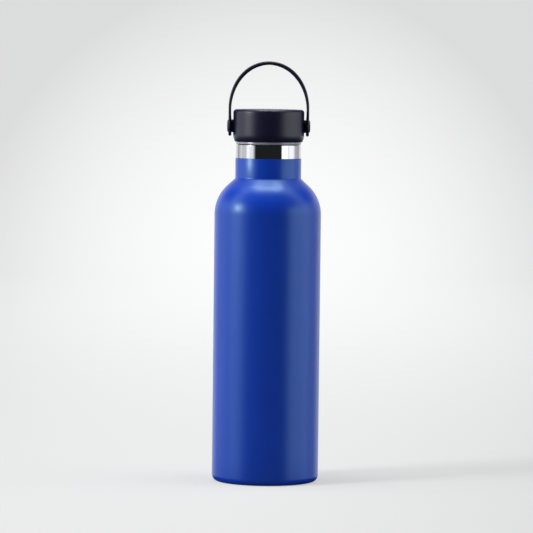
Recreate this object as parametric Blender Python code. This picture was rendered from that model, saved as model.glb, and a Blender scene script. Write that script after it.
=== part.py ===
"""Vacuum insulated water bottle with a screw cap and a swinging carry strap.

The origin is the centre of the foot ring on the floor, +Z is up the bottle's axis, and the strap turns
about an axis along X. All sizes are in metres.
"""

import math

import bmesh
import bpy
from mathutils import Matrix, Vector

# ---- driving dimensions --------------------------------------------------------------------------

GAP = 0.0003  # left between pieces that touch or are joined
SHEET = 0.00045  # steel sheet of both walls
ROUND_STEPS = 40  # sides of every large turned piece
SMALL_STEPS = 16  # sides of pins, buttons and other small round pieces
HALF_STEP = math.pi / ROUND_STEPS  # keeps a thread's edges off the edges of the ring it stands on
MERGE_DISTANCE = 1e-7
CUT_OVERRUN = 0.001  # how far a cutter runs past the face it opens
RIB_BURIED = 0.0003  # how far a thread's rib reaches into the wall it stands on

# outer shell
BODY_RADIUS = 0.0365
SHOULDER_START = 0.1833  # height where the straight wall ends
SHOULDER_RADIUS = 0.027
SHOULDER_SWEEP = 48  # degrees; the shoulder arc turns this far, then runs on as a cone
NECK_RADIUS = 0.02255
NECK_FILLET = 0.0022
PAINT_TOP = 0.2217  # upper end of the painted neck
BASE_CORNER = 0.0045
FOOT_INNER = 0.0295  # inner edge of the flat ring that the bottle stands on
HEM_HEIGHT = 0.006  # the foot ring's turned-up hem
HEM_STEP = 0.0006  # from the foot ring's inner edge in to the hem
HEM_INNER = FOOT_INNER - HEM_STEP

# bottom, base plate and the getter above them
DISC_RADIUS = HEM_INNER - GAP
BOTTOM_FLOOR = 0.0024
PIT_RISE = 0.0018  # the pit round the evacuation hole is pressed up this far
PIT_RADIUS = 0.0052
EVACUATION_HOLE = 0.0008
SEAL_RADIUS = 0.0030
SEAL_DEPTH = 0.0010
PLATE_SHEET = 0.0006
GETTER_ASIDE = 0.0160  # distance of the getter from the bottle's axis
HOLDER_RADIUS = 0.0046
HOLDER_HEIGHT = 0.0028
HOLDER_SHEET = 0.0004
GETTER_RADIUS = 0.0038
GETTER_HEIGHT = 0.0022

# steel neck with its external thread
COLLAR_RADIUS = 0.0224
COLLAR_TOP = 0.2312
THREAD_ROOT = 0.0198
THREAD_CREST = 0.0208
THREAD_LEAD = 0.004
NECK_WALL = 0.0006
NECK_SLEEVE = 0.006  # length of the sleeve inside the painted neck
NECK_STEP = 0.0014  # below the collar's top, where the bore narrows
NECK_RIB_ROOT = 0.0023
NECK_RIB_CREST = 0.0010
FINISH_TOP = 0.2419
FINISH_BORE = 0.0192
NECK_THREAD_START = 0.2329
NECK_THREAD_TURNS = 1.75

# inner vessel
VACUUM_GAP = 0.0032  # between the outer shell and the inner vessel
MOUTH_OUTER = 0.0189  # outside of the inner vessel's neck
LIP_RADIUS = 0.0200  # the lip rolled over the steel neck
VESSEL_BOTTOM = 0.0150  # lower end of the vessel's tube
INNER_BOTTOM_LOW = 0.0105
INNER_BOTTOM_CORNER = 0.006
INNER_BOTTOM_TOP = 0.0180
INNER_BOTTOM_DOME = 0.0015
FOIL_THICK = 0.00015
FOIL_MARGIN = 0.004  # from the foil's ends to the vessel's bottom and shoulder

# cap
CAP_RADIUS = 0.0243
CAP_BOTTOM = 0.2330
CAP_TOP = 0.2552  # at the rim
CAP_CROWN = 0.0003  # the middle of the top stands this much higher
CAP_EDGE = 0.0022  # radius of the top edge
CAP_HEEL = 0.010  # radius of the soft curve under the side wall
CAP_HEEL_START = 0.2379
CAP_HEEL_SWEEP = 25  # degrees
CAP_FOOT_RADIUS = 0.0229
CAP_WALL_INNER = 0.0226
CAP_CEILING = 0.2530
CAP_CORNER = 0.0006
LINER_RADIUS = 0.0223
LINER_BOTTOM = 0.2314
LINER_MAJOR = 0.0211  # root of the internal thread
LINER_MINOR = 0.0201  # crest of the internal thread
LINER_WEB_LOW = 0.2449
LINER_WEB_HIGH = 0.2464
LINER_THREAD_START = 0.2339
LINER_THREAD_TURNS = 1.75
LINER_RIB_ROOT = 0.0026
LINER_RIB_CREST = 0.0013
# With the cap screwed down, the liner's rib lies midway between two passes of the neck's rib.
LINER_THREAD_PHASE = 2 * math.pi * (LINER_THREAD_START - NECK_THREAD_START - THREAD_LEAD / 2) / THREAD_LEAD
PLUG_RADIUS = 0.0172
PLUG_BORE = 0.0160
PLUG_BOTTOM = 0.2369
GASKET_INNER = 0.0176
GASKET_OUTER = 0.0203
COVER_DEPTH = 0.0018  # how far the plug cover's spigot reaches into the plug
COVER_SHEET = 0.0010

# strap and its pivots
PIVOT_HEIGHT = 0.2437
BOSS_RADIUS = 0.0038
BOSS_ROOT = 0.0231
BOSS_FACE = 0.0252  # distance of the boss face from the bottle's axis
PIN_RADIUS = 0.0014
PIN_INNER_END = 0.0235
PIN_OUTER_END = 0.0276
PIN_HOLE_FLOOR = 0.0232
HOLE_RADIUS = 0.0017
BUTTON_RADIUS = 0.00365
BUTTON_SEAT = 0.0264
BUTTON_TOP = 0.0285
BUTTON_SOCKET_END = 0.0279
BUTTON_EDGE = 0.0005
BUTTON_CROWN = 0.0001
COUNTERBORE_RADIUS = 0.00395
COUNTERBORE_FLOOR = 0.0261
STRAP_HALF_WIDTH = 0.0068
STRAP_TIP_ANGLE = 8  # degrees; where the eye's rounded end is cut flat
STRAP_EYE_END = PIVOT_HEIGHT + 0.0045  # the eye's thickness runs to here
STRAP_LEG_START = PIVOT_HEIGHT + 0.0080  # the leg's thickness starts here
STRAP_LEG_OUTER = 0.02755
STRAP_ARCH_START = 0.2556
STRAP_TOP = 0.2880
STRAP_ARCH_POWER = 2.05  # 2 is an ellipse, more is squarer
STRAP_EYE_THICK = 0.00205
STRAP_LEG_THICK = 0.00175
STRAP_TOP_THICK = 0.0024
STRAP_SWELL = 0.0004  # added to the thickness halfway round the arch
STRAP_EDGE_ROUND = 0.0006


# ---- helpers -------------------------------------------------------------------------------------


def clear_scene():
    for thing in list(bpy.data.objects):
        bpy.data.objects.remove(thing, do_unlink=True)


def material(name, color, roughness, metallic=0.0):
    made = bpy.data.materials.new(name)
    made.use_nodes = True
    shader = made.node_tree.nodes["Principled BSDF"]
    shader.inputs["Base Color"].default_value = (*color, 1.0)
    shader.inputs["Roughness"].default_value = roughness
    shader.inputs["Metallic"].default_value = metallic
    return made


def link(name, mesh, finish, smooth_angle=35):
    piece = bpy.data.objects.new(name, mesh)
    bpy.context.collection.objects.link(piece)
    mesh.materials.append(finish)
    mesh.shade_smooth()
    mesh.set_sharp_from_angle(angle=math.radians(smooth_angle))
    return piece


def arc(centre, radius, start, end, steps):
    """Points on an arc in the (r, z) plane, both ends included; angles in degrees from +r towards +z."""
    points = []
    for i in range(steps + 1):
        angle = math.radians(start + (end - start) * i / steps)
        points.append((centre[0] + radius * math.cos(angle), centre[1] + radius * math.sin(angle)))
    return points


def turned(name, profile, finish, steps=ROUND_STEPS, solid=False):
    """Spins a profile of (r, z) points about Z. A solid's profile starts and ends on the axis."""
    bm = bmesh.new()
    verts = [bm.verts.new((r, 0, z)) for r, z in profile]
    edges = [bm.edges.new(pair) for pair in zip(verts, verts[1:])]
    if not solid:
        edges.append(bm.edges.new((verts[-1], verts[0])))
    bmesh.ops.spin(
        bm,
        geom=verts + edges,
        cent=(0, 0, 0),
        axis=(0, 0, 1),
        angle=2 * math.pi,
        steps=steps,
        use_merge=True,
    )
    bmesh.ops.remove_doubles(bm, verts=bm.verts, dist=MERGE_DISTANCE)
    bmesh.ops.recalc_face_normals(bm, faces=bm.faces)
    mesh = bpy.data.meshes.new(name)
    bm.to_mesh(mesh)
    bm.free()
    return link(name, mesh, finish)


def rod(radius, low, high):
    return [(0, low), (radius, low), (radius, high), (0, high)]


def lie_on_pivot(piece, side):
    """Lays a piece turned about Z along the pivot axis, so that its +Z points out of that side of the cap."""
    turn = Matrix.Rotation(math.radians(90 * side), 4, "Y")
    piece.matrix_world = Matrix.Translation((0, 0, PIVOT_HEIGHT)) @ turn


def cutter(piece):
    piece.hide_render = True
    piece.display_type = "WIRE"
    return piece


def boolean(piece, other, operation):
    cut = piece.modifiers.new(operation.lower(), "BOOLEAN")
    cut.operation = operation
    cut.object = cutter(other)


# ---- screw threads -------------------------------------------------------------------------------


def thread_rib(name, buried, crest, root_width, crest_width, start, turns, turned_by, finish):
    """A helical rib with a trapezoid section, from a buried radius to its crest, whose ends taper away."""
    count = round(turns * ROUND_STEPS)
    taper_steps = ROUND_STEPS / 8
    end_share = 0.46  # of the rib's height
    half_root = root_width / 2
    half_tip = crest_width / 2
    bm = bmesh.new()
    rings = []
    for i in range(count + 1):
        angle = 2 * math.pi * i / ROUND_STEPS + turned_by
        middle = start + THREAD_LEAD * i / ROUND_STEPS
        grown = min(1.0, min(i, count - i) / taper_steps)
        tip = buried + (crest - buried) * (end_share + (1 - end_share) * grown)
        section = ((buried, -half_root), (tip, -half_tip), (tip, half_tip), (buried, half_root))
        ring = []
        for radius, offset in section:
            place = (radius * math.cos(angle), radius * math.sin(angle), middle + offset)
            ring.append(bm.verts.new(place))
        rings.append(ring)
    for low, high in zip(rings, rings[1:]):
        for j in range(4):
            bm.faces.new((low[j], low[(j + 1) % 4], high[(j + 1) % 4], high[j]))
    bm.faces.new(rings[0])
    bm.faces.new(list(reversed(rings[-1])))
    bmesh.ops.recalc_face_normals(bm, faces=bm.faces)
    mesh = bpy.data.meshes.new(name)
    bm.to_mesh(mesh)
    bm.free()
    return link(name, mesh, finish)


# ---- bottle --------------------------------------------------------------------------------------


def shoulder(inset, neck_radius):
    """The shoulder arc and cone at a distance inside the outer surface, from the neck down to the wall."""
    centre = (BODY_RADIUS - SHOULDER_RADIUS, SHOULDER_START)
    radius = SHOULDER_RADIUS - inset
    rise = arc(centre, radius, SHOULDER_SWEEP, 0, 5)
    top_r, top_z = rise[0]
    cone_rise = (top_r - neck_radius) / math.tan(math.radians(SHOULDER_SWEEP))
    return [(neck_radius, top_z + cone_rise)] + rise


def neck_fillet(corner, radius):
    """An arc that eases the vertical neck into the shoulder's cone."""
    reach = radius * math.tan(math.radians(SHOULDER_SWEEP) / 2)
    centre = (corner[0] + radius, corner[1] + reach)
    return arc(centre, radius, 180, 180 + SHOULDER_SWEEP, 3)


def make_outer_shell(finish):
    inner_neck = NECK_RADIUS - SHEET
    base_corner = (BODY_RADIUS - BASE_CORNER, BASE_CORNER)
    hem_bend = 0.0010
    outer_line = shoulder(0, NECK_RADIUS)
    outside = [(NECK_RADIUS, PAINT_TOP)] + neck_fillet(outer_line[0], NECK_FILLET) + outer_line[1:]
    outside += arc(base_corner, BASE_CORNER, 0, -90, 4)
    outside += [(FOOT_INNER, 0), (HEM_INNER, HEM_STEP), (HEM_INNER, HEM_HEIGHT)]
    inside = [(HEM_INNER + SHEET, HEM_HEIGHT), (HEM_INNER + SHEET, hem_bend)]
    inside.append((FOOT_INNER + HEM_STEP / 2, SHEET))
    inside += arc(base_corner, BASE_CORNER - SHEET, -90, 0, 4)
    inside += list(reversed(shoulder(SHEET, inner_neck)))
    inside.append((inner_neck, PAINT_TOP))
    turned("outer_shell", outside + inside, finish)


def make_neck_finish(finish):
    """The collar and the threaded neck, on a sleeve that is welded inside the painted neck."""
    sleeve = NECK_RADIUS - SHEET - GAP
    sleeve_low = PAINT_TOP - NECK_SLEEVE
    collar_low = PAINT_TOP + GAP
    collar_round = 0.0006
    edge = 0.0003
    profile = [(THREAD_ROOT - edge, FINISH_TOP), (THREAD_ROOT, FINISH_TOP - edge), (THREAD_ROOT, COLLAR_TOP)]
    profile += arc((COLLAR_RADIUS - collar_round, COLLAR_TOP - collar_round), collar_round, 90, 0, 3)
    profile += [(COLLAR_RADIUS, collar_low), (sleeve, collar_low), (sleeve, sleeve_low)]
    profile += [(sleeve - NECK_WALL, sleeve_low), (sleeve - NECK_WALL, COLLAR_TOP - NECK_STEP)]
    profile += [(FINISH_BORE, COLLAR_TOP - NECK_WALL), (FINISH_BORE, FINISH_TOP)]
    neck = turned("neck_finish", profile, finish)
    rib = thread_rib(
        "neck_thread",
        buried=THREAD_ROOT - RIB_BURIED,
        crest=THREAD_CREST,
        root_width=NECK_RIB_ROOT,
        crest_width=NECK_RIB_CREST,
        start=NECK_THREAD_START,
        turns=NECK_THREAD_TURNS,
        turned_by=HALF_STEP,
        finish=finish,
    )
    boolean(neck, rib, "UNION")


def make_inner_vessel(finish):
    inset = SHEET + VACUUM_GAP
    neck_inner = MOUTH_OUTER - SHEET
    lip_low = FINISH_TOP + GAP
    lip_high = lip_low + SHEET
    outside = [(LIP_RADIUS, lip_high), (LIP_RADIUS, lip_low), (MOUTH_OUTER, lip_low)]
    outside += shoulder(inset, MOUTH_OUTER)
    outside.append((BODY_RADIUS - inset, VESSEL_BOTTOM))
    inside = [(BODY_RADIUS - inset - SHEET, VESSEL_BOTTOM)]
    inside += list(reversed(shoulder(inset + SHEET, neck_inner)))
    inside.append((neck_inner, lip_high))
    turned("inner_vessel", outside + inside, finish)


def make_inner_bottom(finish):
    """A pressed cup whose wall stands inside the vessel's tube; its floor is domed up a little."""
    outer = BODY_RADIUS - SHEET - VACUUM_GAP - SHEET - GAP
    corner = (outer - INNER_BOTTOM_CORNER, INNER_BOTTOM_LOW + INNER_BOTTOM_CORNER)
    middle = INNER_BOTTOM_LOW + INNER_BOTTOM_DOME
    knee = (outer * 0.45, INNER_BOTTOM_LOW + INNER_BOTTOM_DOME * 0.75)
    below = [(0, middle), knee]
    below += arc(corner, INNER_BOTTOM_CORNER, -90, 0, 3)
    below.append((outer, INNER_BOTTOM_TOP))
    above = [(outer - SHEET, INNER_BOTTOM_TOP)]
    above += arc(corner, INNER_BOTTOM_CORNER - SHEET, 0, -90, 3)
    above += [(knee[0], knee[1] + SHEET), (0, middle + SHEET)]
    turned("inner_bottom", below + above, finish, solid=True)


def make_radiation_foil(finish):
    inner = BODY_RADIUS - SHEET - VACUUM_GAP + GAP
    outer = inner + FOIL_THICK
    low = INNER_BOTTOM_TOP + FOIL_MARGIN
    high = SHOULDER_START - FOIL_MARGIN
    turned("radiation_foil", [(outer, high), (outer, low), (inner, low), (inner, high)], finish)


def make_outer_bottom(finish):
    """The disc that closes the vacuum, with a pit pressed up round the evacuation hole in its middle."""
    corner = 0.0006
    inner_corner = 0.0008
    pit_foot = PIT_RADIUS + 0.0012
    pit_top = BOTTOM_FLOOR + PIT_RISE
    floor_top = BOTTOM_FLOOR + SHEET
    shift = 0.0002  # of the upper side's bends, which keeps the sheet's thickness on the pit's slope
    below = [(EVACUATION_HOLE, pit_top), (PIT_RADIUS, pit_top), (pit_foot, BOTTOM_FLOOR)]
    below += [(DISC_RADIUS - corner, BOTTOM_FLOOR), (DISC_RADIUS, BOTTOM_FLOOR + corner)]
    below.append((DISC_RADIUS, HEM_HEIGHT))
    above = [(DISC_RADIUS - SHEET, HEM_HEIGHT), (DISC_RADIUS - SHEET, BOTTOM_FLOOR + inner_corner)]
    above += [(DISC_RADIUS - inner_corner, floor_top), (pit_foot + shift, floor_top)]
    above += [(PIT_RADIUS + shift, pit_top + SHEET), (EVACUATION_HOLE, pit_top + SHEET)]
    turned("outer_bottom", below + above, finish)


def make_vacuum_seal(finish):
    top = BOTTOM_FLOOR + PIT_RISE - GAP
    low = top - SEAL_DEPTH
    crown = 0.0002
    side = 0.0003
    profile = [(0, low), (SEAL_RADIUS * 0.75, low + crown), (SEAL_RADIUS, top - side)]
    profile += [(SEAL_RADIUS, top), (0, top)]
    turned("vacuum_seal", profile, finish, steps=SMALL_STEPS, solid=True)


def make_base_plate(finish):
    high = BOTTOM_FLOOR - GAP
    low = high - PLATE_SHEET
    edge = PLATE_SHEET / 2
    profile = [(0, low), (DISC_RADIUS - edge, low), (DISC_RADIUS, low + edge)]
    profile += [(DISC_RADIUS, high), (0, high)]
    turned("base_plate", profile, finish, solid=True)


def make_getter(finish, holder_finish):
    """The getter tablet lies in a small cup on the outer bottom, inside the vacuum."""
    under = BOTTOM_FLOOR + SHEET + GAP
    floor = under + HOLDER_SHEET
    rim = under + HOLDER_HEIGHT
    bore = HOLDER_RADIUS - HOLDER_SHEET
    cup = [(0, under), (HOLDER_RADIUS, under), (HOLDER_RADIUS, rim), (bore, rim), (bore, floor), (0, floor)]
    holder = turned("getter_holder", cup, holder_finish, steps=SMALL_STEPS, solid=True)
    holder.location.x = GETTER_ASIDE
    low = floor + GAP
    high = low + GETTER_HEIGHT
    edge = 0.0003
    tablet = [(0, low), (GETTER_RADIUS - edge, low), (GETTER_RADIUS, low + edge)]
    tablet += [(GETTER_RADIUS, high - edge), (0, high)]
    getter = turned("getter", tablet, finish, steps=SMALL_STEPS, solid=True)
    getter.location.x = GETTER_ASIDE


# ---- cap -----------------------------------------------------------------------------------------


def make_cap_shell(finish):
    edge_centre = (CAP_RADIUS - CAP_EDGE, CAP_TOP - CAP_EDGE)
    heel_centre = (CAP_RADIUS - CAP_HEEL, CAP_HEEL_START)
    profile = []
    crown_steps = 4
    for i in range(crown_steps):
        share = i / crown_steps
        profile.append((share * (CAP_RADIUS - CAP_EDGE), CAP_TOP + CAP_CROWN * (1 - share**3)))
    profile += arc(edge_centre, CAP_EDGE, 90, 0, 4)
    profile += arc(heel_centre, CAP_HEEL, 0, -CAP_HEEL_SWEEP, 3)
    profile += [(CAP_FOOT_RADIUS, CAP_BOTTOM), (CAP_WALL_INNER, CAP_BOTTOM)]
    profile += [(CAP_WALL_INNER, CAP_CEILING - CAP_CORNER), (CAP_WALL_INNER - CAP_CORNER, CAP_CEILING)]
    profile.append((0, CAP_CEILING))
    shell = turned("cap_shell", profile, finish, solid=True)
    for side in (-1, 1):
        boss = turned("boss", rod(BOSS_RADIUS, BOSS_ROOT, BOSS_FACE), finish, steps=SMALL_STEPS, solid=True)
        lie_on_pivot(boss, side)
        boolean(shell, boss, "UNION")
    for side in (-1, 1):
        drill = rod(HOLE_RADIUS, PIN_HOLE_FLOOR, BOSS_FACE + CUT_OVERRUN)
        hole = turned("pin_hole", drill, finish, steps=SMALL_STEPS, solid=True)
        lie_on_pivot(hole, side)
        boolean(shell, hole, "DIFFERENCE")


def make_cap_liner(finish):
    """The threaded skirt, the web over the gasket and the hollow plug are one moulding."""
    lip_round = 0.0004
    profile = [(LINER_RADIUS, LINER_WEB_HIGH), (LINER_RADIUS, LINER_BOTTOM + lip_round)]
    profile += [(LINER_RADIUS - lip_round, LINER_BOTTOM), (LINER_MAJOR, LINER_BOTTOM)]
    profile += [(LINER_MAJOR, LINER_WEB_LOW), (PLUG_RADIUS, LINER_WEB_LOW), (PLUG_RADIUS, PLUG_BOTTOM)]
    profile += [(PLUG_BORE, PLUG_BOTTOM), (PLUG_BORE, LINER_WEB_HIGH)]
    liner = turned("cap_liner", profile, finish)
    rib = thread_rib(
        "liner_thread",
        buried=LINER_MAJOR + RIB_BURIED,
        crest=LINER_MINOR,
        root_width=LINER_RIB_ROOT,
        crest_width=LINER_RIB_CREST,
        start=LINER_THREAD_START,
        turns=LINER_THREAD_TURNS,
        turned_by=HALF_STEP + LINER_THREAD_PHASE,
        finish=finish,
    )
    boolean(liner, rib, "UNION")


def make_cap_insulation(finish):
    wide = LINER_RADIUS - GAP
    slim = PLUG_BORE - GAP
    seat = LINER_WEB_HIGH + GAP
    low = PLUG_BOTTOM + COVER_DEPTH + GAP
    high = CAP_CEILING - GAP
    edge = 0.001
    profile = [(0, low), (slim, low), (slim, seat), (wide, seat)]
    profile += [(wide, high - edge), (wide - edge, high), (0, high)]
    turned("cap_insulation", profile, finish, steps=SMALL_STEPS * 2, solid=True)


def make_cap_plug_cover(finish):
    high = PLUG_BOTTOM - GAP
    low = high - COVER_SHEET
    spigot = PLUG_BORE - GAP
    spigot_top = PLUG_BOTTOM + COVER_DEPTH
    edge = 0.0004
    profile = [(0, low), (PLUG_RADIUS - edge, low), (PLUG_RADIUS, low + edge), (PLUG_RADIUS, high)]
    profile += [(spigot, high), (spigot, spigot_top), (0, spigot_top)]
    turned("cap_plug_cover", profile, finish, solid=True)


def make_cap_gasket(finish):
    low = FINISH_TOP + GAP + SHEET + GAP
    high = LINER_WEB_LOW - GAP
    ease = 0.0004
    profile = [(GASKET_OUTER, high), (GASKET_OUTER, low + ease), (GASKET_OUTER - ease, low)]
    profile += [(GASKET_INNER + ease, low), (GASKET_INNER, low + ease), (GASKET_INNER, high)]
    turned("cap_gasket", profile, finish)


# ---- strap and pivots ----------------------------------------------------------------------------


def make_pivot(side, label, steel, black):
    ease = 0.0003
    pin_profile = [(0, PIN_INNER_END), (PIN_RADIUS - ease, PIN_INNER_END), (PIN_RADIUS, PIN_INNER_END + ease)]
    pin_profile += [(PIN_RADIUS, PIN_OUTER_END - ease), (PIN_RADIUS - ease, PIN_OUTER_END), (0, PIN_OUTER_END)]
    pin = turned("pivot_pin_" + label, pin_profile, steel, steps=SMALL_STEPS, solid=True)
    lie_on_pivot(pin, side)
    button_profile = [(0, BUTTON_SOCKET_END), (HOLE_RADIUS, BUTTON_SOCKET_END), (HOLE_RADIUS, BUTTON_SEAT)]
    button_profile += [(BUTTON_RADIUS, BUTTON_SEAT), (BUTTON_RADIUS, BUTTON_TOP - BUTTON_EDGE)]
    button_profile += [(BUTTON_RADIUS - BUTTON_EDGE, BUTTON_TOP - BUTTON_CROWN), (0, BUTTON_TOP)]
    button = turned("pivot_button_" + label, button_profile, black, steps=SMALL_STEPS, solid=True)
    lie_on_pivot(button, side)


def strap_stations():
    """Stations along the strap, from the left eye's tip over the arch to the right eye's tip.

    Each is the outer surface's x and z, the angle of its normal from +X, the thickness and the half width.
    """
    half = []
    eye_steps = 5
    for i in range(eye_steps + 1):
        angle = math.radians(STRAP_TIP_ANGLE + (90 - STRAP_TIP_ANGLE) * i / eye_steps)
        height = PIVOT_HEIGHT - STRAP_HALF_WIDTH * math.cos(angle)
        half.append((STRAP_LEG_OUTER, height, 0.0, STRAP_EYE_THICK, STRAP_HALF_WIDTH * math.sin(angle)))
    half.append((STRAP_LEG_OUTER, STRAP_EYE_END, 0.0, STRAP_EYE_THICK, STRAP_HALF_WIDTH))
    half.append((STRAP_LEG_OUTER, STRAP_LEG_START, 0.0, STRAP_LEG_THICK, STRAP_HALF_WIDTH))
    rise = STRAP_TOP - STRAP_ARCH_START
    power = 2 / STRAP_ARCH_POWER
    arch_steps = 12
    for i in range(arch_steps + 1):
        angle = math.pi / 2 * i / arch_steps
        x = STRAP_LEG_OUTER * math.cos(angle) ** power if i < arch_steps else 0.0
        z = STRAP_ARCH_START + rise * math.sin(angle) ** power
        across = (x / STRAP_LEG_OUTER) ** (STRAP_ARCH_POWER - 1) / STRAP_LEG_OUTER
        upward = ((z - STRAP_ARCH_START) / rise) ** (STRAP_ARCH_POWER - 1) / rise
        thick = STRAP_LEG_THICK + (STRAP_TOP_THICK - STRAP_LEG_THICK) * math.sin(angle)
        thick += STRAP_SWELL * math.sin(2 * angle)
        half.append((x, z, math.atan2(upward, across), thick, STRAP_HALF_WIDTH))
    left = [(-x, z, math.pi - tilt, thick, wide) for x, z, tilt, thick, wide in half]
    return left + list(reversed(half[:-1]))


def make_strap(finish):
    bm = bmesh.new()
    rings = []
    for x, z, tilt, thick, wide in strap_stations():
        outward = Vector((math.cos(tilt), 0, math.sin(tilt)))
        outer = Vector((x, 0, z - PIVOT_HEIGHT))
        ease = min(STRAP_EDGE_ROUND, wide * 0.4)
        turn_depth = ease * 0.5
        turn_width = wide - ease * 0.2
        section = ((0, wide - ease), (turn_depth, turn_width), (thick / 2, wide))
        section += ((thick - turn_depth, turn_width), (thick, wide - ease))
        ring = []
        for depth, across in section:
            ring.append(bm.verts.new(outer - outward * depth + Vector((0, across, 0))))
        for depth, across in reversed(section):
            ring.append(bm.verts.new(outer - outward * depth - Vector((0, across, 0))))
        rings.append(ring)
    count = len(rings[0])
    for low, high in zip(rings, rings[1:]):
        for j in range(count):
            bm.faces.new((low[j], low[(j + 1) % count], high[(j + 1) % count], high[j]))
    bm.faces.new(rings[0])
    bm.faces.new(list(reversed(rings[-1])))
    bmesh.ops.recalc_face_normals(bm, faces=bm.faces)
    mesh = bpy.data.meshes.new("strap")
    bm.to_mesh(mesh)
    bm.free()
    strap = link("strap", mesh, finish)
    strap.location.z = PIVOT_HEIGHT
    for side in (-1, 1):
        through = rod(HOLE_RADIUS, BOSS_FACE - CUT_OVERRUN, COUNTERBORE_FLOOR + CUT_OVERRUN / 2)
        hole = turned("eye_hole", through, finish, steps=SMALL_STEPS, solid=True)
        lie_on_pivot(hole, side)
        boolean(strap, hole, "DIFFERENCE")
        sunk = rod(COUNTERBORE_RADIUS, COUNTERBORE_FLOOR, STRAP_LEG_OUTER + CUT_OVERRUN)
        seat = turned("eye_seat", sunk, finish, steps=SMALL_STEPS, solid=True)
        lie_on_pivot(seat, side)
        boolean(strap, seat, "DIFFERENCE")


def main():
    clear_scene()
    paint = material("powder_coat_blue", (0.012, 0.075, 0.42), 0.4)
    steel = material("bare_steel", (0.62, 0.62, 0.64), 0.12, metallic=1.0)
    dull_steel = material("brushed_steel", (0.50, 0.50, 0.52), 0.35, metallic=1.0)
    foil = material("foil", (0.80, 0.45, 0.30), 0.25, metallic=1.0)
    black = material("cap_black", (0.018, 0.018, 0.026), 0.45)
    band = material("strap_black", (0.016, 0.016, 0.026), 0.5)
    grey = material("liner_grey", (0.42, 0.42, 0.50), 0.45)
    silicone = material("silicone", (0.55, 0.55, 0.56), 0.6)
    foam = material("foam", (0.75, 0.75, 0.72), 0.9)
    tablet = material("getter_tablet", (0.20, 0.20, 0.20), 0.8)
    glass_bead = material("glass_bead", (0.25, 0.30, 0.28), 0.2)
    make_outer_shell(paint)
    make_neck_finish(steel)
    make_inner_vessel(dull_steel)
    make_inner_bottom(dull_steel)
    make_radiation_foil(foil)
    make_outer_bottom(dull_steel)
    make_vacuum_seal(glass_bead)
    make_base_plate(dull_steel)
    make_getter(tablet, dull_steel)
    make_cap_shell(black)
    make_cap_liner(grey)
    make_cap_insulation(foam)
    make_cap_plug_cover(grey)
    make_cap_gasket(silicone)
    for side, label in ((-1, "left"), (1, "right")):
        make_pivot(side, label, steel, black)
    make_strap(band)


main()
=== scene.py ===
import math

import bmesh
import bpy
from mathutils import Matrix, Vector


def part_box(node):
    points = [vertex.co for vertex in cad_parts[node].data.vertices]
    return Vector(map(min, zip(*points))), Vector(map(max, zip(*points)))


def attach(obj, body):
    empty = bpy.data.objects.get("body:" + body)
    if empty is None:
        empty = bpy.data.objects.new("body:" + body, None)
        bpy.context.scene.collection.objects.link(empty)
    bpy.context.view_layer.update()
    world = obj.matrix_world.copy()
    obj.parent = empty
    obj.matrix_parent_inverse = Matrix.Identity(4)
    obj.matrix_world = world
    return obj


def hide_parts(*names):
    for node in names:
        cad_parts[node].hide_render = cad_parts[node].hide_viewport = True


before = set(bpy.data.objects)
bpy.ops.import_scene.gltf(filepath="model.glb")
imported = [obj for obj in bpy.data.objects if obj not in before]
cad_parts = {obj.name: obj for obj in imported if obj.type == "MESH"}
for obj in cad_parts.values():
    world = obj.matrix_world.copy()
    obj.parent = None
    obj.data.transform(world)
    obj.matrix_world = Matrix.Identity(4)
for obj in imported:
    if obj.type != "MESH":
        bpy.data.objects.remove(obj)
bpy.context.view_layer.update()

# ---- sizes read from the frame -----------------------------------------------------------------------------

shell_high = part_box("outer_shell")[1]
neck_low, neck_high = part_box("neck_finish")
vessel_low, vessel_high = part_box("inner_vessel")
plate_low, plate_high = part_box("base_plate")
cap_low, cap_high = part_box("cap_shell")
liner_low, liner_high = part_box("cap_liner")
cover_low, cover_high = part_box("cap_plug_cover")
gasket_low, gasket_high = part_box("cap_gasket")
strap_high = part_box("strap")[1]
button_low, button_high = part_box("pivot_button_right")

BODY_RADIUS = shell_high.y
PAINT_TOP = shell_high.z
COLLAR_RADIUS = neck_high.y
LIP_TOP = vessel_high.z
CAP_RADIUS = cap_high.y
CAP_BOTTOM = cap_low.z
CAP_TOP = cap_high.z
LINER_RADIUS = liner_high.y
LINER_BOTTOM = liner_low.z
PIVOT_HEIGHT = (button_low.z + button_high.z) / 2
STRAP_OUTER = strap_high.x
STRAP_HALF_WIDTH = strap_high.y
STRAP_TOP = strap_high.z

# ---- sizes of the fine shapes ------------------------------------------------------------------------------

AROUND = 192  # sides of a large turned piece
SHEET = 0.00045
SHOULDER_START = 0.1833
SHOULDER_RADIUS = 0.027
SHOULDER_SWEEP = 48  # degrees
NECK_RADIUS = COLLAR_RADIUS + 0.00015
BASE_CORNER = 0.0045
FOOT_INNER = 0.0295
COLLAR_TOP = 0.2312
THREAD_ROOT = 0.0198
THREAD_CREST = 0.0208
THREAD_LEAD = 0.004
THREAD_TURNS = 1.75
NECK_THREAD_START = 0.2329
LINER_THREAD_START = 0.2339
LINER_MAJOR = 0.0211
LINER_MINOR = 0.0201
HALF_STEP = math.radians(4.5)  # the CAD threads start this far round from +X
BUTTON_PROUD = 0.0004  # the visible head is wider round than the CAD's by this much
BUTTON_RADIUS = (button_high.z - button_low.z) / 2 + BUTTON_PROUD
BOSS_RADIUS = 0.0044
BOSS_PROUD = 0.00025  # the CAD keeps a wider gap between the boss and the strap
BOSS_FACE = cap_high.x + BOSS_PROUD
PIN_HOLE = 0.0017  # radius of the hole that the pin runs through
CAP_CROWN = 0.0003  # the middle of the cap stands this much above its rim


# ---- mesh helpers ------------------------------------------------------------------------------------------


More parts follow.
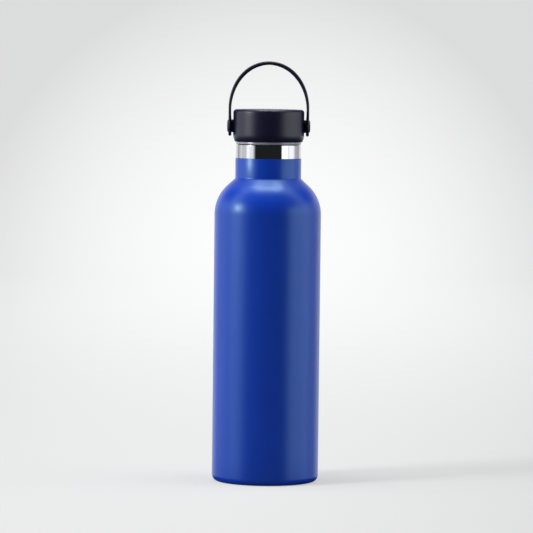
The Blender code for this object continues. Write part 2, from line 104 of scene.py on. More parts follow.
def arc(centre, radius, start, end, steps):
    """Points on an arc in the (r, z) plane, both ends included; angles in degrees from +r towards +z."""
    points = []
    for i in range(steps + 1):
        angle = math.radians(start + (end - start) * i / steps)
        points.append((centre[0] + radius * math.cos(angle), centre[1] + radius * math.sin(angle)))
    return points


def fillet(before, corner, after, radius, steps=6):
    """Points that round the corner of a profile between two straight runs."""
    a = (Vector(before) - Vector(corner)).normalized()
    b = (Vector(after) - Vector(corner)).normalized()
    half = a.angle(b) / 2
    reach = radius / math.tan(half)
    middle = (a + b).normalized() * (radius / math.sin(half))
    centre = Vector(corner) + middle
    start = Vector(corner) + a * reach - centre
    end = Vector(corner) + b * reach - centre
    points = []
    for i in range(steps + 1):
        points.append(tuple(centre + start.slerp(end, i / steps) * radius))
    return points


def line(start, end, steps):
    """Points between two ends, without the first."""
    return [
        (start[0] + (end[0] - start[0]) * i / steps, start[1] + (end[1] - start[1]) * i / steps)
        for i in range(1, steps + 1)
    ]


def new_object(name, bm, sharp=32):
    bmesh.ops.recalc_face_normals(bm, faces=bm.faces)
    mesh = bpy.data.meshes.new(name)
    bm.to_mesh(mesh)
    bm.free()
    mesh.shade_smooth()
    mesh.set_sharp_from_angle(angle=math.radians(sharp))
    piece = bpy.data.objects.new(name, mesh)
    bpy.context.collection.objects.link(piece)
    return piece


def turned(name, profile, steps=AROUND, solid=False, relief=None, sharp=32):
    """Turns a profile of (r, z) points about Z. relief(angle, r, z) may move a point in or out."""
    bm = bmesh.new()
    rings = []
    for r, z in profile:
        if solid and r == 0:
            rings.append([bm.verts.new((0, 0, z))])
            continue
        ring = []
        for i in range(steps):
            angle = 2 * math.pi * i / steps
            radius = r if relief is None else relief(angle, r, z)
            ring.append(bm.verts.new((radius * math.cos(angle), radius * math.sin(angle), z)))
        rings.append(ring)
    pairs = list(zip(rings, rings[1:]))
    if not solid:
        pairs.append((rings[-1], rings[0]))
    for a, b in pairs:
        for i in range(steps):
            j = (i + 1) % steps
            corners = [a[i % len(a)], a[j % len(a)], b[j % len(b)], b[i % len(b)]]
            corners = list(dict.fromkeys(corners))
            bm.faces.new(corners)
    return new_object(name, bm, sharp)


def lie_along_x(piece, side, height=0.0):
    """Lays a piece turned about Z along X, so that its +Z points out of that side of the bottle."""
    turn = Matrix.Rotation(math.radians(90 * side), 4, "Y")
    piece.data.transform(Matrix.Translation((0, 0, height)) @ turn)


def cutter(name, radius, start, end, steps):
    """A round bar along Z, to be laid along X and taken out of a piece."""
    return turned(name, [(0, start), (radius, start), (radius, end), (0, end)], steps=steps, solid=True)


def boolean(piece, other, operation):
    cut = piece.modifiers.new(operation.lower(), "BOOLEAN")
    cut.operation = operation
    cut.solver = "EXACT"
    cut.object = other
    bpy.context.view_layer.update()
    evaluated = piece.evaluated_get(bpy.context.evaluated_depsgraph_get())
    mesh = bpy.data.meshes.new_from_object(evaluated)
    piece.modifiers.clear()
    old = piece.data
    piece.data = mesh
    bpy.data.meshes.remove(old)
    bpy.data.objects.remove(other, do_unlink=True)


def finish_piece(piece, body, node, surface):
    piece.data.materials.clear()
    piece.data.materials.append(surface)
    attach(piece, body)
    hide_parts(node)


# ---- materials ---------------------------------------------------------------------------------------------


class Surface:
    """A Principled material with helpers for the nodes that give it detail."""

    def __init__(self, name, color, roughness, metallic=0.0, specular=0.5):
        self.material = bpy.data.materials.new(name)
        self.material.use_nodes = True
        self.tree = self.material.node_tree
        self.shader = self.tree.nodes["Principled BSDF"]
        self.shader.inputs["Base Color"].default_value = (*color, 1.0)
        self.shader.inputs["Roughness"].default_value = roughness
        self.shader.inputs["Metallic"].default_value = metallic
        self.shader.inputs["Specular IOR Level"].default_value = specular
        self.coords = self.tree.nodes.new("ShaderNodeTexCoord")
        self.normal = None

    def link(self, out_socket, in_socket):
        self.tree.links.new(out_socket, in_socket)

    def mapped(self, scale):
        mapping = self.tree.nodes.new("ShaderNodeMapping")
        mapping.inputs["Scale"].default_value = scale
        self.link(self.coords.outputs["Object"], mapping.inputs["Vector"])
        return mapping.outputs["Vector"]

    def noise(self, scale, detail=2.0, roughness=0.5, stretch=(1, 1, 1)):
        texture = self.tree.nodes.new("ShaderNodeTexNoise")
        texture.inputs["Scale"].default_value = scale
        texture.inputs["Detail"].default_value = detail
        texture.inputs["Roughness"].default_value = roughness
        self.link(self.mapped(stretch), texture.inputs["Vector"])
        return texture.outputs["Fac"]

    def remap(self, value, low, high):
        node = self.tree.nodes.new("ShaderNodeMapRange")
        node.inputs["From Min"].default_value = 0.3
        node.inputs["From Max"].default_value = 0.7
        node.inputs["To Min"].default_value = low
        node.inputs["To Max"].default_value = high
        self.link(value, node.inputs["Value"])
        return node.outputs["Result"]

    def vary_color(self, value, low, high):
        mix = self.tree.nodes.new("ShaderNodeMix")
        mix.data_type = "RGBA"
        mix.inputs["A"].default_value = (*low, 1.0)
        mix.inputs["B"].default_value = (*high, 1.0)
        self.link(self.remap(value, 0.0, 1.0), mix.inputs["Factor"])
        self.link(mix.outputs["Result"], self.shader.inputs["Base Color"])

    def vary_roughness(self, value, low, high):
        self.link(self.remap(value, low, high), self.shader.inputs["Roughness"])

    def bump(self, value, height, strength=1.0):
        node = self.tree.nodes.new("ShaderNodeBump")
        node.inputs["Strength"].default_value = strength
        node.inputs["Distance"].default_value = height
        self.link(value, node.inputs["Height"])
        if self.normal is not None:
            self.link(self.normal, node.inputs["Normal"])
        self.normal = node.outputs["Normal"]
        self.link(self.normal, self.shader.inputs["Normal"])


def powder_coat():
    """Satin royal blue powder coat with the fine orange peel that the powder leaves."""
    made = Surface("powder_coat_blue_fine", (0.0058, 0.056, 0.57), 0.33, specular=0.65)
    made.vary_color(made.noise(45, 3), (0.0053, 0.053, 0.55), (0.0063, 0.059, 0.59))
    made.shader.inputs["Specular Tint"].default_value = (0.60, 1.0, 1.0, 1.0)
    made.vary_roughness(made.noise(320, 3), 0.31, 0.35)
    made.bump(made.noise(900, 2), 0.000015)
    made.bump(made.noise(3600, 2), 0.000003)
    return made.material


def polished_steel():
    made = Surface("polished_steel_fine", (0.515, 0.50, 0.51), 0.06, metallic=1.0)
    made.vary_roughness(made.noise(90, 3, stretch=(1, 1, 12)), 0.04, 0.08)
    made.bump(made.noise(500, 3, stretch=(0.05, 0.05, 8)), 0.0000008)
    return made.material


def drawn_steel():
    made = Surface("drawn_steel_fine", (0.52, 0.52, 0.54), 0.32, metallic=1.0)
    made.vary_color(made.noise(60, 3), (0.49, 0.49, 0.51), (0.56, 0.56, 0.58))
    made.vary_roughness(made.noise(400, 3, stretch=(0.1, 0.1, 6)), 0.26, 0.38)
    made.bump(made.noise(900, 3, stretch=(0.05, 0.05, 8)), 0.000003)
    return made.material


def moulded_plastic(name, color, roughness, grain=0.000005, specular=0.5):
    made = Surface(name, color, roughness, specular=specular)
    lighter = tuple(c * 1.12 for c in color)
    darker = tuple(c * 0.90 for c in color)
    made.vary_color(made.noise(70, 3), darker, lighter)
    made.vary_roughness(made.noise(700, 2), roughness - 0.03, roughness + 0.04)
    made.bump(made.noise(2600, 2), grain)
    return made.material


def silicone():
    made = Surface("silicone_fine", (0.60, 0.60, 0.61), 0.5)
    made.shader.inputs["Subsurface Weight"].default_value = 0.25
    made.shader.inputs["Subsurface Radius"].default_value = (0.002, 0.002, 0.002)
    made.vary_roughness(made.noise(500, 2), 0.45, 0.58)
    made.bump(made.noise(1800, 2), 0.000004)
    return made.material


def copper_foil():
    made = Surface("copper_foil_fine", (0.86, 0.46, 0.30), 0.22, metallic=1.0)
    made.vary_roughness(made.noise(120, 4), 0.15, 0.32)
    made.bump(made.noise(160, 4), 0.00008)
    return made.material


def foam():
    made = Surface("foam_fine", (0.78, 0.78, 0.74), 0.9)
    made.vary_color(made.noise(900, 2), (0.70, 0.70, 0.66), (0.84, 0.84, 0.80))
    made.bump(made.noise(1400, 3), 0.0001)
    return made.material


def sintered():
    made = Surface("getter_fine", (0.16, 0.16, 0.17), 0.8, metallic=0.4)
    made.vary_color(made.noise(1500, 3), (0.10, 0.10, 0.11), (0.24, 0.24, 0.25))
    made.bump(made.noise(1800, 3), 0.00006)
    return made.material


def solder_glass():
    made = Surface("solder_glass_fine", (0.16, 0.22, 0.20), 0.12)
    made.vary_color(made.noise(600, 3), (0.12, 0.17, 0.15), (0.22, 0.28, 0.26))
    made.bump(made.noise(500, 2), 0.00002)
    return made.material


# ---- bottle ------------------------------------------------------------------------------------------------


def shoulder_profile(inset, neck_radius, neck_top, corner):
    """The neck, its fillet, the cone and the shoulder arc at a distance inside the outer surface."""
    centre = (BODY_RADIUS - SHOULDER_RADIUS, SHOULDER_START)
    curve = arc(centre, SHOULDER_RADIUS - inset, SHOULDER_SWEEP, 0, 28)
    top_r, top_z = curve[0]
    root = (neck_radius, top_z + (top_r - neck_radius) / math.tan(math.radians(SHOULDER_SWEEP)))
    return [(neck_radius, neck_top)] + fillet((neck_radius, neck_top), root, curve[0], corner, 10) + curve


def make_painted_shell(paint):
    rim = 0.0002  # the paint's rounded upper edge
    inner_neck = NECK_RADIUS - SHEET
    outside = shoulder_profile(0, NECK_RADIUS, PAINT_TOP - rim, 0.0022)
    outside = [(NECK_RADIUS - rim, PAINT_TOP), (NECK_RADIUS - rim * 0.3, PAINT_TOP - rim * 0.3)] + outside
    outside += line(outside[-1], (BODY_RADIUS, BASE_CORNER), 12)
    corner = (BODY_RADIUS - BASE_CORNER, BASE_CORNER)
    outside += arc(corner, BASE_CORNER, 0, -90, 12)[1:]
    hem = FOOT_INNER - 0.0006
    outside += arc((FOOT_INNER, 0.0006), 0.0006, -90, -180, 4)
    outside.append((hem, 0.006))
    inside = [(hem + SHEET, 0.006)]
    inside += arc((FOOT_INNER + 0.0006, 0.0012), 0.0006, 180, 270, 4)
    inside += arc(corner, BASE_CORNER - SHEET, -90, 0, 8)
    inside += list(reversed(shoulder_profile(SHEET, inner_neck, PAINT_TOP, 0.0026)))
    shell = turned("painted_shell", outside + inside)
    finish_piece(shell, "bottle", "outer_shell", paint)


def rib(angle, z, start, direction):
    """Height, 0 to 1, of a helical rib at a place on a cylinder. Its ends fade over an eighth of a turn."""
    root_half = 0.00105
    tip_half = 0.0005
    found = 0.0
    for turn in range(-1, 4):
        along = angle / (2 * math.pi) + turn
        if not 0 <= along <= THREAD_TURNS:
            continue
        away = abs(z - start - THREAD_LEAD * along)
        flank = (root_half - away) / (root_half - tip_half)
        flank = max(0.0, min(1.0, flank))
        flank = flank * flank * (3 - 2 * flank)
        fade = min(1.0, along * 8, (THREAD_TURNS - along) * 8)
        found = max(found, flank * fade)
    return found * direction


def make_steel_neck(steel):
    """Collar, threaded neck and the sleeve that is welded inside the painted neck."""
    wall = 0.0006
    sleeve = NECK_RADIUS - SHEET - 0.0003
    sleeve_low = neck_low.z
    collar_low = PAINT_TOP + 0.00005
    finish_top = neck_high.z
    bore = 0.0192
    thread_low = COLLAR_TOP + 0.0003
    profile = [(bore + 0.0002, finish_top)]
    profile += arc((THREAD_ROOT - 0.0003, finish_top - 0.0003), 0.0003, 90, 0, 4)
    profile += line(profile[-1], (THREAD_ROOT, thread_low), 84)
    profile += arc((THREAD_ROOT + 0.0003, COLLAR_TOP + 0.0003), 0.0003, 180, 270, 3)
    profile += arc((COLLAR_RADIUS - 0.0005, COLLAR_TOP - 0.0005), 0.0005, 90, 0, 6)
    profile += line(profile[-1], (COLLAR_RADIUS, collar_low + 0.0001), 6)
    profile += [(COLLAR_RADIUS - 0.0001, collar_low), (sleeve, collar_low), (sleeve, sleeve_low)]
    profile += [(sleeve - wall, sleeve_low), (sleeve - wall, COLLAR_TOP - 0.0014)]
    profile += [(bore, COLLAR_TOP - wall), (bore, finish_top - 0.0002)]

    def relief(angle, r, z):
        if abs(r - THREAD_ROOT) > 1e-6 or z < thread_low:
            return r
        place = (angle - HALF_STEP) % (2 * math.pi)
        return r + rib(place, z, NECK_THREAD_START, THREAD_CREST - THREAD_ROOT)

    neck = turned("steel_neck", profile, relief=relief)
    finish_piece(neck, "bottle", "neck_finish", steel)


def make_drinking_vessel(steel):
    inset = BODY_RADIUS - vessel_high.x
    mouth = 0.0189
    inner = mouth - SHEET
    lip_radius = 0.0200
    lip_low = LIP_TOP - SHEET
    outside = arc((lip_radius - SHEET / 2, lip_low + SHEET / 2), SHEET / 2, 90, -90, 6)
    outside += shoulder_profile(inset, mouth, lip_low, 0.002)
    outside.append((BODY_RADIUS - inset, vessel_low.z))
    inside = [(BODY_RADIUS - inset - SHEET, vessel_low.z)]
    inside += list(reversed(shoulder_profile(inset + SHEET, inner, LIP_TOP - 0.0005, 0.002)))
    inside += arc((inner + 0.0005, LIP_TOP - 0.0005), 0.0005, 180, 90, 5)[1:]
    vessel = turned("drinking_vessel", outside + inside)
    finish_piece(vessel, "bottle", "inner_vessel", steel)


def bead(r, middle, half_width):
    """Height, 0 to 1, of a pressed ring at a distance from the disc's centre."""
    return math.exp(-(((r - middle) / half_width) ** 2))


def make_base_disc(steel):
    """The disc under the bottle, pressed with two shallow rings."""
    bead_height = 0.00018
    steps = 72
    outer = plate_high.x
    low, high = plate_low.z, plate_high.z
    profile = [(0, low)]
    for i in range(1, steps + 1):
        r = (outer - 0.0004) * i / steps
        ring = bead(r, outer * 0.86, 0.0008) + bead(r, outer * 0.30, 0.0006)
        profile.append((r, low + bead_height * ring))
    profile += arc((outer - 0.0003, low + 0.0003), 0.0003, -90, 0, 4)[1:]
    profile += [(outer, high), (0, high)]
    disc = turned("base_disc", profile, solid=True)
    finish_piece(disc, "bottle", "base_plate", steel)


# ---- cap ---------------------------------------------------------------------------------------------------


def make_cap_body(plastic):
    edge = 0.0022
    heel = 0.010
    heel_start = CAP_BOTTOM + 0.0049
    foot_radius = 0.0229
    wall_inner = 0.0226
    rim_top = CAP_TOP - CAP_CROWN
    ceiling = rim_top - 0.0021
    profile = []
    steps = 12
    for i in range(steps):
        share = i / steps
        profile.append(((CAP_RADIUS - edge) * i / steps, rim_top + CAP_CROWN * (1 - share**3)))
    profile += arc((CAP_RADIUS - edge, rim_top - edge), edge, 90, 0, 12)
    profile += line(profile[-1], (CAP_RADIUS, heel_start), 6)
    profile += arc((CAP_RADIUS - heel, heel_start), heel, 0, -24, 8)[1:]
    foot = profile[-1]
    profile += fillet(foot, (foot_radius + 0.00018, CAP_BOTTOM), (wall_inner, CAP_BOTTOM), 0.00025, 4)
    profile += [(wall_inner, CAP_BOTTOM), (wall_inner, ceiling - 0.0006)]
    profile += [(wall_inner - 0.0006, ceiling), (0, ceiling)]
    body = turned("cap_body", profile, solid=True)
    ease = 0.0003
    root = CAP_RADIUS - 0.0012
    for side in (-1, 1):
        outline = [(0, root), (BOSS_RADIUS, root)]
        outline += arc((BOSS_RADIUS - ease, BOSS_FACE - ease), ease, 0, 90, 4) + [(0, BOSS_FACE)]
        boss = turned("boss", outline, steps=64, solid=True)
        lie_along_x(boss, side, PIVOT_HEIGHT)
        boolean(body, boss, "UNION")
    for side in (-1, 1):
        drill = cutter("drill", PIN_HOLE, BOSS_FACE - 0.002, BOSS_FACE + 0.001, 48)
        lie_along_x(drill, side, PIVOT_HEIGHT)
        boolean(body, drill, "DIFFERENCE")
    body.data.shade_smooth()
    body.data.set_sharp_from_angle(angle=math.radians(32))
    finish_piece(body, "cap", "cap_shell", plastic)


def make_liner(plastic):
    lip = 0.0004  # the lip that shows under the cap has a rounded lower edge and flares a little
    flare = 0.00015
    web_low, web_high = 0.2449, liner_high.z
    plug, plug_bore = 0.0172, 0.0160
    plug_bottom = 0.2369
    profile = [(LINER_RADIUS - flare, web_high)]
    profile += line(profile[0], (LINER_RADIUS - flare, CAP_BOTTOM + 0.0001), 8)
    profile += line(profile[-1], (LINER_RADIUS, LINER_BOTTOM + lip), 4)
    profile += arc((LINER_RADIUS - lip, LINER_BOTTOM + lip), lip, 0, -90, 6)[1:]
    profile += arc((LINER_MAJOR + 0.0003, LINER_BOTTOM + 0.0003), 0.0003, 270, 180, 3)
    profile += line(profile[-1], (LINER_MAJOR, web_low - 0.0004), 100)
    profile += arc((LINER_MAJOR - 0.0004, web_low - 0.0004), 0.0004, 0, 90, 3)[1:]
    profile += [(plug + 0.0003, web_low), (plug, web_low - 0.0003)]
    profile += line(profile[-1], (plug, plug_bottom + 0.0003), 6)
    profile += [(plug - 0.0003, plug_bottom), (plug_bore, plug_bottom), (plug_bore, web_high)]

    phase = 2 * math.pi * (LINER_THREAD_START - NECK_THREAD_START - THREAD_LEAD / 2) / THREAD_LEAD

    def relief(angle, r, z):
        if abs(r - LINER_MAJOR) > 1e-6 or z < LINER_BOTTOM + 0.0003:
            return r
        place = (angle - HALF_STEP - phase) % (2 * math.pi)
        return r - rib(place, z, LINER_THREAD_START, LINER_MAJOR - LINER_MINOR)

    liner = turned("threaded_liner", profile, relief=relief)
    finish_piece(liner, "cap", "cap_liner", plastic)


def make_plug_disc(plastic):
    low, high = cover_low.z, cover_high.z
    rim = cover_high.y
    spigot = 0.0157
    spigot_low = low + 0.0010
    dish = low + 0.0004
    profile = [(0, dish), (rim * 0.72, dish), (rim * 0.76, low + 0.0001), (rim - 0.0005, low)]
    profile += arc((rim - 0.0004, dish), 0.0004, -90, 0, 5)[1:]
    profile += [(rim, spigot_low), (spigot, spigot_low), (spigot, high), (0, high)]
    disc = turned("plug_disc", profile, solid=True)
    finish_piece(disc, "cap", "cap_plug_cover", plastic)


def make_gasket(rubber):
    low, high = gasket_low.z, gasket_high.z
    inner, outer = 0.0176, gasket_high.y
    ease = 0.0004
    profile = arc((outer - ease, high - ease), ease, 90, 0, 5)
    profile += arc((outer - ease, low + ease), ease, 0, -90, 5)
    profile += arc((inner + ease, low + ease), ease, 270, 180, 5)
    profile += arc((inner + ease, high - ease), ease, 180, 90, 5)
    gasket = turned("lip_gasket", profile)
    finish_piece(gasket, "seal", "cap_gasket", rubber)


# ---- strap and pivots --------------------------------------------------------------------------------------


def strap_half():
    """Stations from the eye's tip to the arch's top: outer point, outward tilt, thickness and half width."""
    eye_thick, leg_thick, top_thick, swell = 0.00205, 0.00175, 0.0024, 0.0004
    arch_start = 0.2556
    tuck_depth = 0.0009
    taper_start, taper_length = 0.0035, 0.0045  # where the eye thins into the leg, from the pivot up
    rise = STRAP_TOP - arch_start
    half = []
    for i in range(17):
        angle = math.radians(4 + 86 * i / 16)
        height = PIVOT_HEIGHT - STRAP_HALF_WIDTH * math.cos(angle)
        tuck = tuck_depth * max(0.0, 1 - i / 4) ** 2
        half_width = STRAP_HALF_WIDTH * math.sin(angle)
        half.append((STRAP_OUTER - tuck, height, 0.0, eye_thick - 2 * tuck, half_width))
    steps = 12
    for i in range(1, steps + 1):
        blend = i / steps
        height = PIVOT_HEIGHT + (arch_start - PIVOT_HEIGHT) * blend
        ease = max(0.0, min(1.0, (height - PIVOT_HEIGHT - taper_start) / taper_length))
        ease = ease * ease * (3 - 2 * ease)
        half.append((STRAP_OUTER, height, 0.0, eye_thick + (leg_thick - eye_thick) * ease, STRAP_HALF_WIDTH))
    power = 2.05
    steps = 40
    for i in range(1, steps + 1):
        angle = math.pi / 2 * i / steps
        x = STRAP_OUTER * max(0.0, math.cos(angle)) ** (2 / power) if i < steps else 0.0
        z = arch_start + rise * math.sin(angle) ** (2 / power)
        run = (x / STRAP_OUTER) ** (power - 1) / STRAP_OUTER
        climb = ((z - arch_start) / rise) ** (power - 1) / rise
        thick = leg_thick + (top_thick - leg_thick) * math.sin(angle) + swell * math.sin(2 * angle)
        half.append((x, z, math.atan2(climb, run), thick, STRAP_HALF_WIDTH))
    return half


def strap_section(thick, wide):
    """A flat band's section with rounded edges, as (depth from the outer face, offset across)."""
    ease = min(thick * 0.45, wide * 0.45)
    points = []
    corners = ((ease, wide - ease, 180, 90), (thick - ease, wide - ease, 90, 0))
    corners += ((thick - ease, -(wide - ease), 0, -90), (ease, -(wide - ease), -90, -180))
    for depth, across, start, end in corners:
        for i in range(5):
            angle = math.radians(start + (end - start) * i / 4)
            points.append((depth + ease * math.cos(angle), across + ease * math.sin(angle)))
    return points


def make_carry_strap(rubber):
    half = strap_half()
    stations = [(-x, z, math.pi - tilt, thick, wide) for x, z, tilt, thick, wide in half]
    stations += list(reversed(half[:-1]))
    bm = bmesh.new()
    rings = []
    for x, z, tilt, thick, wide in stations:
        outward = Vector((math.cos(tilt), 0, math.sin(tilt)))
        outer = Vector((x, 0, z))
        ring = [
            bm.verts.new(outer - outward * depth + Vector((0, across, 0)))
            for depth, across in strap_section(thick, wide)
        ]
        rings.append(ring)
    count = len(rings[0])
    for low, high in zip(rings, rings[1:]):
        for j in range(count):
            bm.faces.new((low[j], low[(j + 1) % count], high[(j + 1) % count], high[j]))
    bm.faces.new(rings[0])
    bm.faces.new(list(reversed(rings[-1])))
    strap = new_object("carry_strap", bm, sharp=40)
    for side in (-1, 1):
        hole = cutter("hole", PIN_HOLE, 0.0232, 0.0266, 48)
        lie_along_x(hole, side, PIVOT_HEIGHT)
        boolean(strap, hole, "DIFFERENCE")
        seat = cutter("seat", BUTTON_RADIUS + 0.0003, 0.0261, STRAP_OUTER + 0.001, 64)
        lie_along_x(seat, side, PIVOT_HEIGHT)
        boolean(strap, seat, "DIFFERENCE")
    strap.data.shade_smooth()
    strap.data.set_sharp_from_angle(angle=math.radians(40))
    finish_piece(strap, "strap", "strap", rubber)


def make_button(side, label, plastic):
    seat, top = button_low.x, button_high.x
    ease = 0.0005
    crown = 0.00018
    recess = 0.0279  # the pin's end sits in a recess up to here
    bevel = 0.0002
    profile = [(0, recess), (PIN_HOLE, recess), (PIN_HOLE, seat)]
    profile += [(BUTTON_RADIUS - bevel, seat), (BUTTON_RADIUS, seat + bevel)]
    profile += arc((BUTTON_RADIUS - ease, top - crown - ease), ease, 0, 80, 8)
    edge_r, edge_z = profile[-1]
    for i in range(1, 9):
        r = edge_r * (1 - i / 8)
        profile.append((r, edge_z + (top - edge_z) * (1 - (r / edge_r) ** 2)))
    profile[-1] = (0, top)
    button = turned("button_" + label, profile, steps=64, solid=True)
    lie_along_x(button, side, PIVOT_HEIGHT)
    finish_piece(button, "cap", "pivot_button_" + label, plastic)


# ---- studio ------------------------------------------------------------------------------------------------


# The pool constants shape a pool of light that the paper's glow paints on it. The share constants are the part
# of the lamps' light that the glow takes away.
FLOOR_BACK = 2.4  # where the paper's floor starts to bend up
OVERHEAD_HEIGHT = 2.0
POOL_LEVEL = 0.975
POOL_RADIUS = 0.45  # the pool of light fades out to here, and the paper is even beyond it
POOL_STRETCH = 7  # how many times longer the pool is along the floor
POOL_CURVE = 1.35
EVEN_SHARE = 0.065
OVERHEAD_SHARE = 0.25
FAR_PAPER = 0.70  # the tone beyond the paper's edges, the same as its own far away


def make_camera():
    place = (-0.00045, -2.4, 0.2805)
    pitch_down = 0.05535
    roll = 0.0112
    data = bpy.data.cameras.new("camera")
    data.sensor_width = 36
    data.lens = 236.7
    data.clip_start = 0.1
    data.clip_end = 30
    camera = bpy.data.objects.new("camera", data)
    bpy.context.collection.objects.link(camera)
    look = Matrix.Rotation(math.pi / 2 - pitch_down, 4, "X") @ Matrix.Rotation(roll, 4, "Z")
    camera.matrix_world = Matrix.Translation(place) @ look
    bpy.context.scene.camera = camera


def make_sweep():
    """A pale paper sweep: a floor that curves up into a backdrop."""
    width, front, bend, height = 4.5, -3.2, 1.0, 4.0
    path = [(front, 0.0)] + line((front, 0.0), (FLOOR_BACK, 0.0), 12)
    path += arc((FLOOR_BACK, bend), bend, -90, 0, 24)[1:]
    path.append((FLOOR_BACK + bend, height))
    bm = bmesh.new()
    rows = [[bm.verts.new((x, y, z)) for x in (-width, 0, width)] for y, z in path]
    for a, b in zip(rows, rows[1:]):
        for i in range(2):
            bm.faces.new((a[i], a[i + 1], b[i + 1], b[i]))
    sweep = new_object("sweep", bm, sharp=60)
    sweep.data.materials.append(sweep_paper_painted_pool())
    sweep.visible_glossy = False
    return sweep


def math_node(tree, operation, *values):
    """Adds a Math node. A value is a number or another node's output."""
    node = tree.nodes.new("ShaderNodeMath")
    node.operation = operation
    for socket, value in zip(node.inputs, values):
        if isinstance(value, bpy.types.NodeSocket):
            tree.links.new(value, socket)
        else:
            socket.default_value = value
    return node.outputs[0]


def length_node(tree, *parts):
    """The length of a vector, from its parts."""
    total = 0.0
    for part in parts:
        total = math_node(tree, "ADD", math_node(tree, "MULTIPLY", part, part), total)
    return math_node(tree, "SQRT", total)


def painted_pool_tone(tree, x, y, z):
    """The paper's wanted brightness, a painted pool of light: an oval round the place where the floor bends
    up.
    """
    depth = math_node(tree, "DIVIDE", math_node(tree, "SUBTRACT", y, FLOOR_BACK), POOL_STRETCH)
    away = math_node(tree, "MINIMUM", length_node(tree, x, depth, z), POOL_RADIUS)
    fall = math_node(tree, "MULTIPLY", POOL_CURVE, math_node(tree, "MULTIPLY", away, away))
    return math_node(tree, "SUBTRACT", POOL_LEVEL, fall)


def paper_light(tree, x, y):
    """Roughly what the lights give the paper: an even share, and the overhead light's, less with distance."""
    away = math_node(tree, "DIVIDE", length_node(tree, x, y), OVERHEAD_HEIGHT)
    spread = math_node(tree, "MULTIPLY_ADD", away, away, 1.0)
    share = math_node(tree, "DIVIDE", OVERHEAD_SHARE, math_node(tree, "MULTIPLY", spread, spread))
    return math_node(tree, "ADD", share, EVEN_SHARE)


def sweep_paper_painted_pool():
    """Pale paper with painted light: a glow, seen only by camera rays, makes up for the light's fall-off in
    the room and paints an oval pool of light on the paper.
    """
    made = Surface("sweep_paper_painted_pool", (0.22, 0.22, 0.22), 0.35, specular=0.0)
    made.vary_roughness(made.noise(30, 3), 0.33, 0.38)
    tree = made.tree
    split = tree.nodes.new("ShaderNodeSeparateXYZ")
    made.link(made.coords.outputs["Object"], split.inputs["Vector"])
    x, y, z = split.outputs
    # Painted light: the paper glows with the pool's brightness less roughly what the lamps give it.
    glow = math_node(tree, "SUBTRACT", painted_pool_tone(tree, x, y, z), paper_light(tree, x, y))
    path = tree.nodes.new("ShaderNodeLightPath")
    seen = math_node(tree, "MULTIPLY", glow, path.outputs["Is Camera Ray"])
    made.shader.inputs["Emission Color"].default_value = (1, 1, 1, 1)
    made.link(seen, made.shader.inputs["Emission Strength"])
    return made.material


def make_area_light(name, shape, size, power, matrix):
    data = bpy.data.lights.new(name, "AREA")
    data.shape = shape
    data.size = size[0]
    data.size_y = size[1]
    data.energy = power
    light = bpy.data.objects.new(name, data)
    bpy.context.collection.objects.link(light)
    light.matrix_world = matrix
    light.visible_camera = False
    return light


# Softboxes and walls of the studio, painted on the world. Each has its azimuth (degrees from the front,
# positive to the right), half width, the softness of its sides, its lower and upper elevation, the softness of
# those, and its brightness.
PANELS = (
    ("left_key", -67, 15, 7, -10, 20, 3, 1.5),
    ("left_low", -94, 18, 14, -10, 20, 3, 1.05),
    ("left_middle", -86, 10, 3, 20, 50, 3, 2.0),
    ("left_top", -86, 10, 3, 50, 78, 3, 1.4),
    ("left_far", -120, 12, 6, -10, 20, 3, 0.8),
    ("left_far_top", -112, 16, 4, 50, 78, 3, 1.6),
    ("right_key", 60, 12, 2, -10, 20, 3, 2.05),
    ("right_low", 88, 16, 8, -10, 20, 3, 1.85),
    ("right_middle", 86, 14, 3, 20, 50, 3, 1.1),
    ("right_top", 86, 14, 3, 50, 78, 3, 1.8),
    ("right_far", 118, 14, 6, -10, 20, 3, 0.7),
    ("right_far_top", 116, 16, 4, 50, 78, 3, 0.9),
    ("backdrop", 180, 45, 5, -10, 20, 3, 1.1),
    ("backdrop_middle", 180, 45, 5, 20, 50, 3, 0.5),
    ("front_wall", 0, 50, 5, -10, 20, 3, 0.025),
)


PANEL_TINT = (0.95, 1.0, 1.03)


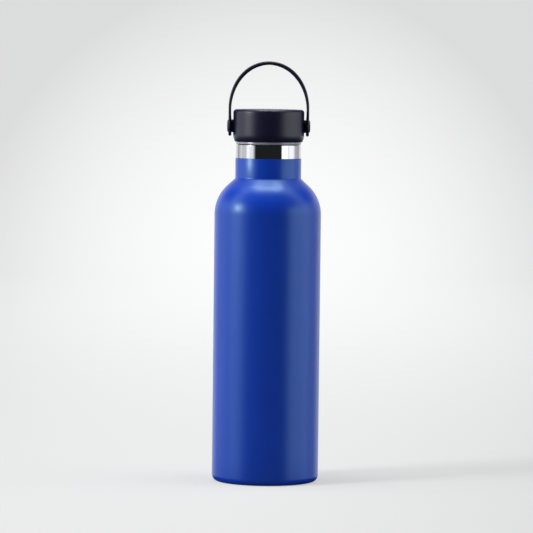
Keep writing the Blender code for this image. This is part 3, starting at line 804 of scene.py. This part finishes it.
def make_world():
    world = bpy.data.worlds.new("studio")
    world.use_nodes = True
    bpy.context.scene.world = world
    tree = world.node_tree
    tree.nodes.clear()

    def calculate(operation, *values):
        return math_node(tree, operation, *values)

    def step(value, start, end):
        node = tree.nodes.new("ShaderNodeMapRange")
        node.interpolation_type = "SMOOTHSTEP"
        node.inputs["From Min"].default_value = start
        node.inputs["From Max"].default_value = end
        tree.links.new(value, node.inputs["Value"])
        return node.outputs["Result"]

    coords = tree.nodes.new("ShaderNodeTexCoord")
    split = tree.nodes.new("ShaderNodeSeparateXYZ")
    tree.links.new(coords.outputs["Generated"], split.inputs["Vector"])
    azimuth = calculate("ARCTAN2", split.outputs["X"], calculate("MULTIPLY", split.outputs["Y"], -1.0))
    elevation = calculate("ARCSINE", split.outputs["Z"])
    total = None
    for name, middle, half, soft, low, high, rise, strength in PANELS:
        turn = calculate("SUBTRACT", azimuth, math.radians(middle))
        away = calculate("ABSOLUTE", calculate("WRAP", turn, math.pi, -math.pi))
        side = calculate("SUBTRACT", 1.0, step(away, math.radians(half - soft), math.radians(half + soft)))
        above = step(elevation, math.radians(low - rise), math.radians(low + rise))
        top = step(elevation, math.radians(high - rise), math.radians(high + rise))
        below = calculate("SUBTRACT", 1.0, top)
        glow = tree.nodes.new("ShaderNodeBackground")
        glow.name = name
        glow.inputs["Color"].default_value = (*PANEL_TINT, 1)
        amount = calculate("MULTIPLY", calculate("MULTIPLY", side, above), below)
        tree.links.new(calculate("MULTIPLY", amount, strength), glow.inputs["Strength"])
        if total is None:
            total = glow.outputs[0]
        else:
            add = tree.nodes.new("ShaderNodeAddShader")
            tree.links.new(total, add.inputs[0])
            tree.links.new(glow.outputs[0], add.inputs[1])
            total = add.outputs[0]
    seen = tree.nodes.new("ShaderNodeBackground")
    seen.inputs["Color"].default_value = (FAR_PAPER, FAR_PAPER, FAR_PAPER, 1)
    path = tree.nodes.new("ShaderNodeLightPath")
    mix = tree.nodes.new("ShaderNodeMixShader")
    tree.links.new(path.outputs["Is Camera Ray"], mix.inputs["Fac"])
    tree.links.new(total, mix.inputs[1])
    tree.links.new(seen.outputs[0], mix.inputs[2])
    output = tree.nodes.new("ShaderNodeOutputWorld")
    tree.links.new(mix.outputs[0], output.inputs["Surface"])


KEY_POWER = 7.0
FLOOR_KEY_POWER = 27.0
OVERHEAD_POWER = 27.0
LIGHT_REACH = 1.5
LIGHT_LIFT = 16  # degrees above level
AIM = Vector((0, 0, 0.2))  # the place on the bottle that the lights point at


def beside(side):
    """A light's matrix at the lights' reach and lift, aimed at the bottle; side in degrees from the front."""
    side, lift = math.radians(side), math.radians(LIGHT_LIFT)
    across = LIGHT_REACH * math.cos(lift)
    place = AIM + Vector((across * math.sin(side), -across * math.cos(side), LIGHT_REACH * math.sin(lift)))
    return Matrix.Translation(place) @ (AIM - place).to_track_quat("-Z", "Y").to_matrix().to_4x4()


def make_lights(sweep):
    """The key on the bottle, a second key that only the paper receives, and a softbox overhead."""
    make_area_light("key", "DISK", (0.26, 0.26), KEY_POWER, beside(-69))
    floor_key = make_area_light("floor_key", "DISK", (0.40, 0.40), FLOOR_KEY_POWER, beside(-60))
    floor_only = bpy.data.collections.new("floor_only")
    floor_only.objects.link(sweep)
    floor_key.light_linking.receiver_collection = floor_only
    above = Matrix.Translation((0, 0, OVERHEAD_HEIGHT))
    make_area_light("overhead", "RECTANGLE", (1.2, 0.75), OVERHEAD_POWER, above)


# ---- everything --------------------------------------------------------------------------------------------


def dress_hidden_nodes(steel, pin_steel):
    looks = {
        "inner_bottom": steel,
        "outer_bottom": steel,
        "getter_holder": steel,
        "radiation_foil": copper_foil(),
        "vacuum_seal": solder_glass(),
        "getter": sintered(),
        "cap_insulation": foam(),
        "pivot_pin_left": pin_steel,
        "pivot_pin_right": pin_steel,
    }
    for node, surface in looks.items():
        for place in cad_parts[node].material_slots:
            place.material = surface


def main():
    bpy.context.scene.view_settings.view_transform = "Standard"
    make_camera()
    make_world()
    make_lights(make_sweep())
    paint = powder_coat()
    mirror_steel = polished_steel()
    steel = drawn_steel()
    black = moulded_plastic("cap_black_fine", (0.010, 0.011, 0.040), 0.36)
    band = moulded_plastic("strap_black_fine", (0.0085, 0.0090, 0.030), 0.42)
    grey = moulded_plastic("liner_grey_fine", (0.40, 0.40, 0.475), 0.24, grain=0.000002, specular=0.9)
    make_painted_shell(paint)
    make_steel_neck(mirror_steel)
    make_drinking_vessel(steel)
    make_base_disc(steel)
    make_cap_body(black)
    make_liner(grey)
    make_plug_disc(grey)
    make_gasket(silicone())
    make_carry_strap(band)
    for side, label in ((-1, "left"), (1, "right")):
        make_button(side, label, black)
    dress_hidden_nodes(steel, mirror_steel)


main()
